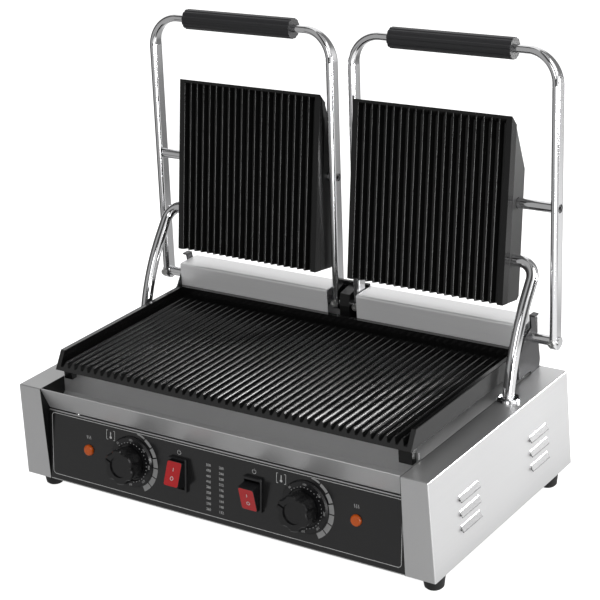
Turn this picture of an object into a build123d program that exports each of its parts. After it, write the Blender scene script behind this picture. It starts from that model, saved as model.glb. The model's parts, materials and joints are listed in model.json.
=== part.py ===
import os
from math import cos, radians, sin

from build123d import *

os.makedirs("parts", exist_ok=True)

# Frame: +X is the right-hand end seen from the front, +Y the rear, +Z up.
# The origin lies on the surface, midway between the four feet. All sizes are in millimetres.

# ---------------------------------------------------------------- casing
body_width = 570.0
body_depth = 320.0
body_top = 140.0
foot_height = 21.5
sheet = 1.2
sheet_gap = 0.2
end_width = 34.0
housing_flare = 4.0
housing_edge_radius = 1.5
housing_window_length = 250.0
housing_window_height = 104.0
housing_window_y = 20.0

half_width = body_width / 2
front_y = -body_depth / 2
rear_y = body_depth / 2
end_inner_x = half_width - end_width
bay_half_width = end_inner_x - sheet_gap

# ---------------------------------------------------------------- feet
foot_top_radius = 13.0
foot_tread_radius = 11.0
foot_x = half_width - 14
foot_y = body_depth / 2 - 27
foot_recess_radius = 5.5
foot_recess_depth = 9.0
m4_radius = 2.0
m4_hole_radius = 2.25
m4_head_radius = 4.0
m4_head_height = 2.6

# ---------------------------------------------------------------- control panel
fascia_lean = 7.4
fascia_height = 89.0
fascia_front_inset = 0.48
overlay_thickness = 0.6
overlay_border = 1.5
control_height = 49.02
knob_x = 122.5
lamp_x = end_inner_x - 62
switch_x = 53.0
seat_gap = 0.1

knob_radius = 21.0
knob_lobes = 6
knob_lobe_cut_radius = 8.5
knob_lobe_cut_reach = 27.0
knob_lobe_angle = 8.0
knob_front = 27.0
knob_skirt_radius = 18.0
knob_skirt_height = 5.0
knob_recess_radius = 12.5
knob_recess_depth = 2.0
knob_pointer_angle = 158.0
knob_gap = 0.3
dial_ring_radius = 31.0
dial_ring_height = 4.0
spindle_radius = 3.0
spindle_hole_radius = 3.05
thermostat_size = 36.0
thermostat_depth = 32.0
bush_radius = 5.0

bezel_width = 25.0
bezel_height = 41.0
bezel_front = 5.0
switch_body_width = 23.6
switch_body_height = 37.0
switch_body_depth = 26.0
rocker_width = 21.2
rocker_height = 29.4
rocker_side_gap = 0.3
rocker_well_height = 33.6
rocker_well_depth = 8.0
rocker_foot = 28.2
rocker_below = 2.0
rocker_pivot = 2.0
rocker_reach = 12.0
rocker_tilt = 17.0
rocker_pin_radius = 1.5
rocker_pin_length = 0.9
rocker_pin_gap = 0.05
lens_thickness = 1.6
lens_border = 0.5
lens_corner = 2.5

lamp_radius = 6.8
lamp_body_radius = 5.2
lamp_dome = 3.8
lamp_depth = 22.0

# ---------------------------------------------------------------- grease trough and deck
trough_lip_y = front_y + 0.4
trough_floor_front_y = front_y + 12.6
trough_floor_rear_y = front_y + 32
trough_floor_z = 111.4
trough_heel_y = front_y + 43
trough_heel_z = 121.0
trough_wall_y = front_y + 45
trough_wall_top = 147.5
deck_ledge = 8.0

# ---------------------------------------------------------------- lower plate
plate_end_gap = 2.4
lower_half_width = end_inner_x - plate_end_gap
hinge_y = rear_y - 23
lower_front_y = front_y + 28
lower_tip_y = lower_front_y + 13
lower_rear_y = hinge_y - 18.6
lower_slab_bottom = 155.0
lower_groove_z = 159.0
lower_tip_z = 165.5
lower_wall_top = 176.0
lower_wall = 6.0
lower_gutter = 7.0
rib_base = 7.4
rib_crest_radius = 1.3
lower_rib_pitch = 10.2
lower_rib_count = int(2 * (lower_half_width - lower_wall) / lower_rib_pitch)
skirt_half_width = lower_half_width - 22.6
skirt_front_y = lower_front_y + 20
skirt_rear_y = lower_rear_y - 18.4
skirt_wall = 5.0
spout_width = 17.0
spout_depth = 8.0
spout_y = lower_front_y + 10
spout_drop = 18.5
lug_drop = 12.0

# ---------------------------------------------------------------- hinge line and arms
hinge_z = 185.0
arm_lean = 3.1
leg_thickness = 9.0
leg_depth = 19.0
leg_side_gap = 4.0
arm_overhang = 1.4
centre_web_half = 7.0
leg_spacing = half_width + arm_overhang - centre_web_half - leg_side_gap - leg_thickness
leg_x = leg_spacing / 2
arm_centre_x = centre_web_half + leg_side_gap + leg_thickness / 2 + leg_x
grip_reach = 335.5
rail_depth = 10.0
arm_bend_radius = 36.0
shaft_radius = 6.0
shaft_end_reach = 2.0
running_gap = 0.05
rod_radius = 6.0
rod_reach = 159.0
grip_length = 160.0
grip_radius = 12.5
grip_flutes = 12
grip_flute_radius = 3.0
grip_flute_reach = grip_radius + 2.3
set_screw_head = 2.6
m6_radius = 2.9
m6_hole_radius = 3.0
m6_head_radius = 4.2
m6_head_height = 3.6
m6_length = 7.0
counterbore_radius = 5.3
counterbore_depth = 4.2

# ---------------------------------------------------------------- hinge supports
cover_inner_x = 21.5
cover_front_y = hinge_y - 16.8
cover_rear_y = rear_y - 2
cover_top = hinge_z + 19.8
bracket_inner_x = end_inner_x - 1.8
bracket_foot_width = 11.0
bracket_lip = 5.0
bracket_thickness = 2.0
bracket_boss_radius = 11.0
centre_wall_y = hinge_y + 14
centre_wall_thickness = 4.0
centre_wall_top = hinge_z + 23
centre_foot_front_y = hinge_y - 13
stop_gap = 0.4
spring_wire_radius = 1.6
spring_mean_radius = 10.0
spring_start_x = 70.0
spring_turns = 40
collar_x = 211.0
collar_radius = 10.0
collar_length = 12.0

# ---------------------------------------------------------------- upper plates
leg_plate_gap = 3.2
conduit_room = 43.6
plate_width = leg_spacing - leg_thickness - leg_plate_gap - conduit_room
plate_centre_x = arm_centre_x - leg_x + leg_thickness / 2 + leg_plate_gap + plate_width / 2
plate_height = 216.8
plate_tilt = 9.2
plate_thickness = 12.0
upper_rib_height = 6.5
upper_rib_pitch = 9.87
upper_rim = 3.6
upper_rib_count = int(plate_width / upper_rib_pitch)
plate_bevel = 9.9
rod_above_centre = 7.1
rod_behind_face = 26.3
cover_depth = 40.0
cover_shoulder = 45.0
cover_shoulder_depth = 37.5
cover_heel_rise = 4.0
upper_cover_wall = 1.5
upper_cover_inset = 0.2
lug_offset_x = plate_width / 2 - 35.3
lug_width = 14.0
lug_half_height = 10.0

# ---------------------------------------------------------------- wiring conduits
conduit_radius = 7.0
conduit_bore_radius = 5.5
conduit_x = half_width - 22
conduit_swivel_y = hinge_y - 6.7
conduit_swivel_z = 279.7
conduit_knee_y = hinge_y - 71.5
conduit_knee_z = 197.0
conduit_entry_y = hinge_y - 81
conduit_tail = 12.0
conduit_elbow_radius = 20.0
conduit_knee_radius = 250.0
swivel_bush_wall = 2.0
swivel_gap = 0.1
ferrule_y = hinge_y - 80
ferrule_radius = 14.0
ferrule_bore_radius = 10.0
ferrule_neck_radius = 10.7
ferrule_height = 4.0
ferrule_neck_depth = 4.0

# ---------------------------------------------------------------- heaters and wiring
heater_radius = 3.5
heater_bend_radius = 14.0
heater_end_drop = 36.0
heater_margin = 20.0
heater_pair_spacing = 50.0
heater_middle_spacing = 70.0
clamp_thickness = 2.0
gland_inset = 95.0
gland_x = half_width - gland_inset
terminal_y = rear_y - 50
gland_z = 60.0
gland_radius = 8.0
gland_flange_radius = 12.0
gland_reach = 22.5
gland_bore_radius = 4.2
vent_x = -60.0
vent_z = 92.0
terminal_length = 62.0
terminal_width = 20.0


def leaning_plane(x, y, z, lean):
    """A plane that faces the front, its own +Y running up the slope."""
    a = radians(lean)
    return Plane(origin=(x, y, z), x_dir=(1, 0, 0), z_dir=(0, -cos(a), sin(a)))


def along_slope(y, z, lean, up, out):
    """The (y, z) place reached by going up a slope and out of its face."""
    a = radians(lean)
    return y + up * sin(a) - out * cos(a), z + up * cos(a) + out * sin(a)


def rib_profile(height):
    """A rib with a round crest, left standing when the grooves beside it are cut."""
    shoulder = height - rib_crest_radius
    Polygon(
        (-rib_base / 2, 0),
        (rib_base / 2, 0),
        (rib_crest_radius, shoulder),
        (-rib_crest_radius, shoulder),
        align=None,
        mode=Mode.SUBTRACT,
    )
    with Locations((0, shoulder)):
        Circle(rib_crest_radius, mode=Mode.SUBTRACT)


def save(piece, name):
    piece.part.label = name
    export_step(piece.part, f"parts/{name}.step")


fascia_y = front_y + fascia_front_inset
fascia_top_y, fascia_top_z = along_slope(fascia_y, foot_height, fascia_lean, fascia_height, 0)
control_y, control_z = along_slope(fascia_y, foot_height, fascia_lean, control_height, 0)
rod_y, rod_z = along_slope(hinge_y, hinge_z, arm_lean, rod_reach, 0)
face_y, face_z = along_slope(rod_y, rod_z, plate_tilt, -rod_above_centre, rod_behind_face)
sides = {"left": -1, "right": 1}


def control_plane(x, out=0.0):
    """A plane parallel to the fascia, on the row of controls."""
    y, z = along_slope(control_y, control_z, fascia_lean, 0, out)
    return leaning_plane(x, y, z, fascia_lean)


def arm_plane(side, out=0.0):
    """The arm's own plane, its origin on the hinge line midway between the legs."""
    y, z = along_slope(hinge_y, hinge_z, arm_lean, 0, out)
    return leaning_plane(side * arm_centre_x, y, z, arm_lean)


def plate_plane(side, out=0.0):
    """The upper plate's plane, its origin at the middle of the rib crests."""
    y, z = along_slope(face_y, face_z, plate_tilt, 0, out)
    return leaning_plane(side * plate_centre_x, y, z, plate_tilt)


# ================================================================ casing
pan_front_y = fascia_y + sheet + 2 * sheet_gap
pan_width = body_width + 2 * (housing_flare - sheet - sheet_gap)
with BuildPart() as base_pan:
    with BuildSketch(Plane.XY.offset(foot_height)):
        with Locations((0, (pan_front_y + rear_y - sheet - sheet_gap) / 2)):
            Rectangle(pan_width, rear_y - sheet - sheet_gap - pan_front_y)
        with GridLocations(2 * foot_x, 2 * foot_y, 2, 2):
            Circle(m4_hole_radius, mode=Mode.SUBTRACT)
        with GridLocations(24, 60, 15, 2):
            SlotCenterToCenter(34, 5, rotation=90, mode=Mode.SUBTRACT)
    extrude(amount=sheet)
save(base_pan, "base_pan")

louvre_length = 41.0
louvre_rise = 8.0
louvre_reach = 3.6
louvre_lip = 0.9
louvre_pitch_z = 17.8
louvre_spacing_y = 161.0
louvre_centre_z = 76.5


def outer_x(z):
    """How far out the end wall stands at a height; it flares towards the feet."""
    return half_width + housing_flare * (body_top - z) / (body_top - foot_height)


def end_outline(side, wall):
    """The end housing's outline seen from the front, or its inside when a wall is given."""
    Polygon(
        (side * (end_inner_x + wall), foot_height),
        (side * (outer_x(foot_height) - wall), foot_height),
        (side * (half_width - wall), body_top - wall),
        (side * (end_inner_x + wall), body_top - wall),
        align=None,
    )


for name, side in sides.items():
    with BuildPart() as end_housing:
        with BuildSketch(Plane.XZ):
            end_outline(side, 0)
        extrude(amount=body_depth / 2, both=True)
        outer_edges = end_housing.edges().filter_by(lambda edge: abs(edge.center().X) > half_width - 0.1)
        top_edges = end_housing.edges().group_by(Axis.Z)[-1].filter_by(Axis.X)
        fillet(outer_edges.sort_by(Axis.Z)[1:] + top_edges, housing_edge_radius)
        with BuildSketch(Plane.XZ):
            end_outline(side, sheet)
        extrude(amount=body_depth / 2 - sheet, both=True, mode=Mode.SUBTRACT)
        with BuildSketch(Plane.YZ.offset(side * end_inner_x)):
            with Locations((0, foot_height + sheet)):
                Rectangle(body_depth - 2 * sheet, 2 * sheet + 2 * sheet_gap)
            with Locations((housing_window_y, foot_height + housing_window_height / 2)):
                Rectangle(housing_window_length, housing_window_height)
        extrude(amount=side * sheet, mode=Mode.SUBTRACT)
        with BuildSketch(Plane.XY.offset(body_top - sheet)):
            with Locations((side * conduit_x, ferrule_y)):
                Circle(ferrule_neck_radius + seat_gap)
        extrude(amount=sheet, mode=Mode.SUBTRACT)
        for row in (-1, 0, 1):
            louvre_z = louvre_centre_z + row * louvre_pitch_z
            for column in (-1, 1):
                middle_y = column * louvre_spacing_y / 2
                slot = Plane.XZ.offset(-middle_y)
                with BuildSketch(slot):
                    with Locations((side * (outer_x(louvre_z) - sheet / 2), louvre_z)):
                        Rectangle(2 * sheet, louvre_rise - 2 * louvre_lip)
                extrude(amount=louvre_length / 2, both=True, mode=Mode.SUBTRACT)
                hood_top = louvre_z + louvre_rise / 2
                hood_foot = louvre_z - louvre_rise / 2
                hood_x = outer_x(hood_top)
                with BuildSketch(slot):
                    with BuildLine():
                        Polyline(
                            (side * (hood_x - louvre_lip), hood_top),
                            (side * hood_x, hood_top),
                            (side * (hood_x + louvre_reach), hood_foot + 1),
                            (side * (hood_x + louvre_reach), hood_foot),
                            (side * (hood_x + louvre_reach - louvre_lip), hood_foot),
                            (side * (hood_x - louvre_lip), hood_top - 2 * louvre_lip),
                            close=True,
                        )
                    make_face()
                extrude(amount=louvre_length / 2, both=True)
    save(end_housing, f"{name}_end_housing")

with BuildPart() as back_panel:
    with BuildSketch(Plane.XZ.offset(-rear_y)):
        with Locations((0, (foot_height + body_top - sheet - sheet_gap) / 2)):
            Rectangle(2 * bay_half_width, body_top - sheet - sheet_gap - foot_height)
        with Locations((gland_x, gland_z)):
            Circle(gland_radius + seat_gap, mode=Mode.SUBTRACT)
        with Locations((vent_x, vent_z)):
            with GridLocations(20, 1, 13, 1):
                SlotCenterToCenter(30, 4, rotation=90, mode=Mode.SUBTRACT)
    extrude(amount=sheet)
save(back_panel, "back_panel")

with BuildPart() as top_deck:
    deck_front_y = trough_wall_y + sheet + sheet_gap
    deck_rear_y = rear_y
    with BuildSketch(Plane.XY.offset(body_top - sheet)):
        with Locations((0, (deck_front_y + deck_rear_y) / 2)):
            Rectangle(2 * bay_half_width, deck_rear_y - deck_front_y)
        with Locations((0, (skirt_front_y + skirt_rear_y) / 2)):
            Rectangle(
                2 * (skirt_half_width - skirt_wall - deck_ledge),
                skirt_rear_y - skirt_front_y - 2 * (skirt_wall + deck_ledge),
                mode=Mode.SUBTRACT,
            )
    extrude(amount=sheet)
save(top_deck, "top_deck")

# ================================================================ front
with BuildPart() as front_panel:
    with BuildSketch(leaning_plane(0, fascia_y, foot_height, fascia_lean)):
        with Locations((0, fascia_height / 2)):
            Rectangle(2 * bay_half_width, fascia_height)
        with Locations((-knob_x, control_height), (knob_x, control_height)):
            Circle(bush_radius + seat_gap, mode=Mode.SUBTRACT)
        with Locations((-lamp_x, control_height), (lamp_x, control_height)):
            Circle(lamp_body_radius + seat_gap, mode=Mode.SUBTRACT)
        with Locations((-switch_x, control_height), (switch_x, control_height)):
            Rectangle(
                switch_body_width + 2 * seat_gap, switch_body_height + 2 * seat_gap, mode=Mode.SUBTRACT
            )
    extrude(amount=-sheet)
save(front_panel, "front_panel")

with BuildPart() as fascia_overlay:
    with BuildSketch(leaning_plane(0, fascia_y, foot_height, fascia_lean)):
        with Locations((0, fascia_height / 2)):
            Rectangle(2 * bay_half_width - 2 * sheet_gap, fascia_height - 2 * overlay_border)
        with Locations((-knob_x, control_height), (knob_x, control_height)):
            Circle(bush_radius + seat_gap, mode=Mode.SUBTRACT)
        with Locations((-lamp_x, control_height), (lamp_x, control_height)):
            Circle(lamp_body_radius + seat_gap, mode=Mode.SUBTRACT)
        with Locations((-switch_x, control_height), (switch_x, control_height)):
            Rectangle(
                switch_body_width + 2 * seat_gap, switch_body_height + 2 * seat_gap, mode=Mode.SUBTRACT
            )
    extrude(amount=overlay_thickness)
save(fascia_overlay, "fascia_overlay")

with BuildPart() as grease_trough:
    with BuildSketch(Plane.YZ.offset(-bay_half_width)):
        with BuildLine() as trough_line:
            Polyline(
                (trough_lip_y, body_top),
                (trough_floor_front_y, trough_floor_z),
                (trough_floor_rear_y, trough_floor_z),
                (trough_heel_y, trough_heel_z),
                (trough_wall_y, trough_wall_top),
            )
            offset(amount=sheet, side=Side.LEFT)
        make_face()
    extrude(amount=2 * bay_half_width)
    with BuildSketch(Plane.XZ.offset(-trough_heel_y)):
        with Locations((-bay_half_width, body_top), (bay_half_width, body_top)):
            Rectangle(2 * plate_end_gap, 4 * (trough_wall_top - body_top), align=(Align.CENTER, Align.MIN))
    extrude(amount=4 * sheet, both=True, mode=Mode.SUBTRACT)
save(grease_trough, "grease_trough")

# ================================================================ feet
with BuildPart() as feet:
    with BuildSketch(Plane.XZ):
        with BuildLine():
            Polyline(
                (m4_hole_radius, foot_height),
                (foot_top_radius, foot_height),
                (foot_top_radius, foot_height - 6),
                (foot_tread_radius, 2),
                (foot_tread_radius - 2, 0),
                (foot_recess_radius, 0),
                (foot_recess_radius, foot_recess_depth),
                (m4_hole_radius, foot_recess_depth),
                close=True,
            )
        make_face()
    revolve(axis=Axis.Z)
foot_places = [(x, y) for x in (-foot_x, foot_x) for y in (-foot_y, foot_y)]
feet_group = Compound(children=[feet.part.moved(Location((x, y, 0))) for x, y in foot_places])
feet_group.label = "feet"
export_step(feet_group, "parts/feet.step")

with BuildPart() as foot_screw:
    with BuildSketch(Plane.XY.offset(foot_recess_depth - m4_head_height)):
        Circle(m4_head_radius)
        Rectangle(5.6, 1.0, mode=Mode.SUBTRACT)
    extrude(amount=m4_head_height)
    with BuildSketch(Plane.XY.offset(foot_recess_depth - m4_head_height + 1.2)):
        Circle(m4_head_radius)
    extrude(amount=m4_head_height - 1.2)
    with BuildSketch(Plane.XY.offset(foot_recess_depth)):
        Circle(m4_radius)
    extrude(amount=foot_height + sheet + 5 - foot_recess_depth)
    with BuildSketch(Plane.XY.offset(foot_height + sheet)):
        RegularPolygon(4.0, 6)
    extrude(amount=3.2)
foot_screws = Compound(children=[foot_screw.part.moved(Location((x, y, 0))) for x, y in foot_places])
foot_screws.label = "foot_screws"
export_step(foot_screws, "parts/foot_screws.step")

# ================================================================ lower plate
lower_inner_half = lower_half_width - lower_wall
with BuildPart() as lower_plate:
    with BuildSketch(Plane.YZ.offset(-lower_half_width)):
        with BuildLine():
            Polyline(
                (lower_front_y, lower_slab_bottom),
                (lower_tip_y, lower_wall_top),
                (lower_rear_y, lower_wall_top),
                (lower_rear_y, lower_slab_bottom),
                close=True,
            )
        make_face()
    extrude(amount=2 * lower_half_width)
    with BuildSketch(Plane.XZ.offset(-lower_rear_y + lower_wall)):
        with Locations((0, lower_groove_z)):
            Rectangle(2 * lower_inner_half, lower_wall_top, align=(Align.CENTER, Align.MIN))
        with Locations((0, lower_groove_z)):
            with GridLocations(lower_rib_pitch, 1, lower_rib_count, 1):
                rib_profile(lower_tip_z - lower_groove_z)
    extrude(amount=lower_rear_y - lower_wall - lower_front_y, mode=Mode.SUBTRACT)
    with BuildSketch(Plane.XY.offset(lower_groove_z)):
        with Locations((0, lower_rear_y - lower_wall)):
            Rectangle(2 * lower_inner_half, lower_gutter, align=(Align.CENTER, Align.MAX))
    extrude(amount=lower_wall_top - lower_groove_z, mode=Mode.SUBTRACT)
    with BuildSketch(Plane.XY.offset(body_top)):
        with Locations((0, (skirt_front_y + skirt_rear_y) / 2)):
            Rectangle(2 * skirt_half_width, skirt_rear_y - skirt_front_y)
            Rectangle(
                2 * (skirt_half_width - skirt_wall),
                skirt_rear_y - skirt_front_y - 2 * skirt_wall,
                mode=Mode.SUBTRACT,
            )
    extrude(amount=lower_slab_bottom - body_top)
    with BuildSketch(Plane.YZ.offset(lower_half_width - spout_width - 2.6)):
        with Locations((spout_y, lower_slab_bottom)):
            Rectangle(spout_depth, spout_drop, align=(Align.CENTER, Align.MAX))
    extrude(amount=spout_width)
    with BuildSketch(Plane.YZ.offset(lug_drop / 2 + 1.6 - lower_half_width)):
        with Locations((spout_y, lower_slab_bottom)):
            Rectangle(spout_depth, lug_drop, align=(Align.CENTER, Align.MAX))
    extrude(amount=lug_drop)
save(lower_plate, "lower_plate")

# ================================================================ lower heaters
heater_z = lower_slab_bottom - heater_radius - seat_gap
heater_front_y = skirt_front_y + heater_margin
heater_rear_y = skirt_rear_y - heater_margin
outer_run = skirt_half_width - skirt_wall - heater_margin - 1
runs = [
    outer_run,
    outer_run - heater_pair_spacing,
    outer_run - heater_pair_spacing - heater_middle_spacing,
    outer_run - 2 * heater_pair_spacing - heater_middle_spacing,
]
for name, side in sides.items():
    with BuildPart() as lower_heater:
        with BuildLine() as heater_line:
            FilletPolyline(
                (side * runs[0], heater_rear_y, heater_z - heater_end_drop),
                (side * runs[0], heater_rear_y, heater_z),
                (side * runs[0], heater_front_y, heater_z),
                (side * runs[1], heater_front_y, heater_z),
                (side * runs[1], heater_rear_y - heater_margin, heater_z),
                (side * runs[2], heater_rear_y - heater_margin, heater_z),
                (side * runs[2], heater_front_y, heater_z),
                (side * runs[3], heater_front_y, heater_z),
                (side * runs[3], heater_rear_y, heater_z),
                (side * runs[3], heater_rear_y, heater_z - heater_end_drop),
                radius=heater_bend_radius,
            )
        with BuildSketch(Plane.XY.offset(heater_z - heater_end_drop)):
            with Locations((side * runs[0], heater_rear_y)):
                Circle(heater_radius)
        sweep()
    save(lower_heater, f"{name}_lower_heater")


# ================================================================ controls
def side_plane(plane):
    """The plane's own side view: local x runs up its slope, local y out of its face."""
    return Plane(origin=plane.origin, x_dir=plane.y_dir, z_dir=plane.x_dir)


ring_out = overlay_thickness
ring_top = ring_out + dial_ring_height
knob_back = ring_top + knob_gap
for name, side in sides.items():
    x = side * knob_x
    outward = Axis(control_plane(x).origin, control_plane(x).z_dir)

    with BuildPart() as thermostat:
        with BuildSketch(control_plane(x, -sheet - sheet_gap)):
            RectangleRounded(thermostat_size, thermostat_size, 3)
        extrude(amount=-thermostat_depth)
        with BuildSketch(control_plane(x, -sheet - sheet_gap)):
            Circle(bush_radius)
        extrude(amount=sheet + sheet_gap + ring_top - 1)
        with BuildSketch(control_plane(x, -sheet - sheet_gap - thermostat_depth)):
            with GridLocations(14, 12, 2, 2):
                Rectangle(6.3, 0.8)
        extrude(amount=-8)
        with BuildSketch(control_plane(x, ring_top)):
            Circle(spindle_hole_radius)
        extrude(amount=-ring_top - 16, mode=Mode.SUBTRACT)
    save(thermostat, f"{name}_thermostat")

    with BuildPart() as dial_ring:
        with BuildSketch(side_plane(control_plane(x, ring_out))):
            with BuildLine():
                Polyline(
                    (bush_radius + seat_gap, 0),
                    (dial_ring_radius, 0),
                    (dial_ring_radius, 1.5),
                    (dial_ring_radius - 1.5, dial_ring_height),
                    (knob_radius + 2, dial_ring_height),
                    (knob_radius + 1, dial_ring_height - 1),
                    (bush_radius + seat_gap, dial_ring_height - 1),
                    close=True,
                )
            make_face()
        revolve(axis=outward)
    save(dial_ring, f"{name}_dial_ring")

    with BuildPart() as spindle:
        with BuildSketch(control_plane(x, -12)):
            Circle(spindle_radius)
        extrude(amount=knob_front + 12 - 5)
    save(spindle, f"{name}_dial_spindle")

    with BuildPart() as knob:
        with BuildSketch(control_plane(x, knob_back + knob_skirt_height)):
            Circle(knob_radius)
            with PolarLocations(knob_lobe_cut_reach, knob_lobes, start_angle=knob_lobe_angle):
                Circle(knob_lobe_cut_radius, mode=Mode.SUBTRACT)
        extrude(amount=knob_front - knob_back - knob_skirt_height)
        chamfer(knob.edges().group_by(outward)[-1], 1.2)
        with BuildSketch(control_plane(x, knob_back)):
            Circle(knob_skirt_radius)
        extrude(amount=knob_skirt_height)
        with BuildSketch(control_plane(x, knob_front)):
            Circle(knob_recess_radius)
            with Locations(Location((0, 0, 0), (0, 0, knob_pointer_angle))):
                with Locations((knob_radius / 2, 0)):
                    Rectangle(knob_radius, 2.2)
        extrude(amount=-knob_recess_depth, mode=Mode.SUBTRACT)
        with BuildSketch(control_plane(x, knob_back)):
            Circle(spindle_hole_radius)
        extrude(amount=knob_front - 5 + seat_gap - knob_back, mode=Mode.SUBTRACT)
    save(knob, f"{name}_knob")

    x = side * lamp_x
    with BuildPart() as lamp:
        with BuildSketch(control_plane(x, overlay_thickness)):
            Circle(lamp_radius)
        extrude(amount=lamp_dome)
        fillet(lamp.edges().group_by(Axis(control_plane(x).origin, control_plane(x).z_dir))[-1], 3.0)
        with BuildSketch(control_plane(x, overlay_thickness)):
            Circle(lamp_body_radius)
        extrude(amount=-lamp_depth)
    save(lamp, f"{name}_lamp")

    x = side * switch_x
    pivot = control_plane(x, rocker_pivot)
    pivot_y, pivot_z = pivot.origin.Y, pivot.origin.Z
    rocker_lean = fascia_lean - side * rocker_tilt
    face_out = along_slope(pivot_y, pivot_z, rocker_lean, 0, rocker_reach)
    with BuildPart() as switch_body:
        with BuildSketch(control_plane(x, overlay_thickness)):
            RectangleRounded(bezel_width, bezel_height, 1.5)
        extrude(amount=bezel_front - overlay_thickness)
        chamfer(switch_body.edges().group_by(Axis(pivot.origin, pivot.z_dir))[-1], 1.2)
        with BuildSketch(control_plane(x, overlay_thickness)):
            Rectangle(switch_body_width, switch_body_height)
        extrude(amount=-switch_body_depth)
        with BuildSketch(control_plane(x, bezel_front)):
            Rectangle(rocker_width + 2 * rocker_side_gap, rocker_well_height)
        extrude(amount=-bezel_front - rocker_well_depth, mode=Mode.SUBTRACT)
        with BuildSketch(side_plane(pivot)):
            Circle(rocker_pin_radius + rocker_pin_gap)
        extrude(amount=switch_body_width / 2, both=True, mode=Mode.SUBTRACT)
        with BuildSketch(control_plane(x, overlay_thickness - switch_body_depth)):
            with GridLocations(1, 10, 1, 3):
                Rectangle(6.3, 0.8)
        extrude(amount=-8)
    save(switch_body, f"{name}_switch_body")

    with BuildPart() as rocker:
        with BuildSketch(side_plane(leaning_plane(x, pivot_y, pivot_z, rocker_lean))):
            with BuildLine():
                Polyline(
                    (-rocker_height / 2, rocker_reach),
                    (rocker_height / 2, rocker_reach),
                    (rocker_foot / 2, -rocker_below),
                    (-rocker_foot / 2, -rocker_below),
                    close=True,
                )
            make_face()
        extrude(amount=rocker_width / 2, both=True)
        with BuildSketch(side_plane(leaning_plane(x, pivot_y, pivot_z, rocker_lean))):
            Circle(rocker_pin_radius)
        extrude(amount=rocker_width / 2 + rocker_pin_length, both=True)
        with BuildSketch(leaning_plane(x, *face_out, rocker_lean)):
            RectangleRounded(rocker_width - 2 * lens_border, rocker_height - 2 * lens_border, lens_corner)
        extrude(amount=-lens_thickness, mode=Mode.SUBTRACT)
    save(rocker, f"{name}_rocker")

    with BuildPart() as lens:
        with BuildSketch(leaning_plane(x, *face_out, rocker_lean)):
            RectangleRounded(
                rocker_width - 2 * lens_border - seat_gap,
                rocker_height - 2 * lens_border - seat_gap,
                lens_corner,
            )
        extrude(amount=-lens_thickness)
    save(lens, f"{name}_rocker_lens")

# ================================================================ wiring inside the casing
with BuildPart() as terminal_block:
    with BuildSketch(Plane.XY.offset(foot_height + sheet)):
        with Locations((gland_x, terminal_y)):
            Rectangle(terminal_length, terminal_width)
    extrude(amount=8)
    with BuildSketch(Plane.XY.offset(foot_height + sheet + 8)):
        with Locations((gland_x, terminal_y)):
            Rectangle(terminal_length - 4, terminal_width - 8)
    extrude(amount=10)
    with BuildSketch(Plane.XY.offset(foot_height + sheet + 18)):
        with Locations((gland_x, terminal_y)):
            with GridLocations(11, 1, 5, 1):
                Circle(2.2)
    extrude(amount=-8, mode=Mode.SUBTRACT)
    with BuildSketch(Plane.XZ.offset(-terminal_y)):
        with Locations((gland_x, foot_height + sheet + 4)):
            with GridLocations(11, 1, 5, 1):
                Circle(2.4)
    extrude(amount=10, both=True, mode=Mode.SUBTRACT)
save(terminal_block, "terminal_block")

with BuildPart() as cable_gland:
    with BuildSketch(Plane.XZ.offset(-rear_y)):
        with Locations((gland_x, gland_z)):
            Circle(gland_flange_radius)
    extrude(amount=-4)
    with BuildSketch(Plane.XZ.offset(-rear_y - 4)):
        with Locations((gland_x, gland_z)):
            Circle(gland_radius)
    extrude(amount=-gland_reach + 4, taper=6)
    with BuildSketch(Plane.XZ.offset(-rear_y)):
        with Locations((gland_x, gland_z)):
            Circle(gland_radius)
    extrude(amount=sheet + 10)
    with BuildSketch(Plane.XZ.offset(-rear_y + sheet + seat_gap)):
        with Locations((gland_x, gland_z)):
            RegularPolygon(gland_flange_radius, 6)
    extrude(amount=4)
    with BuildSketch(Plane.XZ.offset(-rear_y + sheet + 10)):
        with Locations((gland_x, gland_z)):
            Circle(gland_bore_radius)
    extrude(amount=-gland_reach - sheet - 10, mode=Mode.SUBTRACT)
save(cable_gland, "cable_gland")

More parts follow.
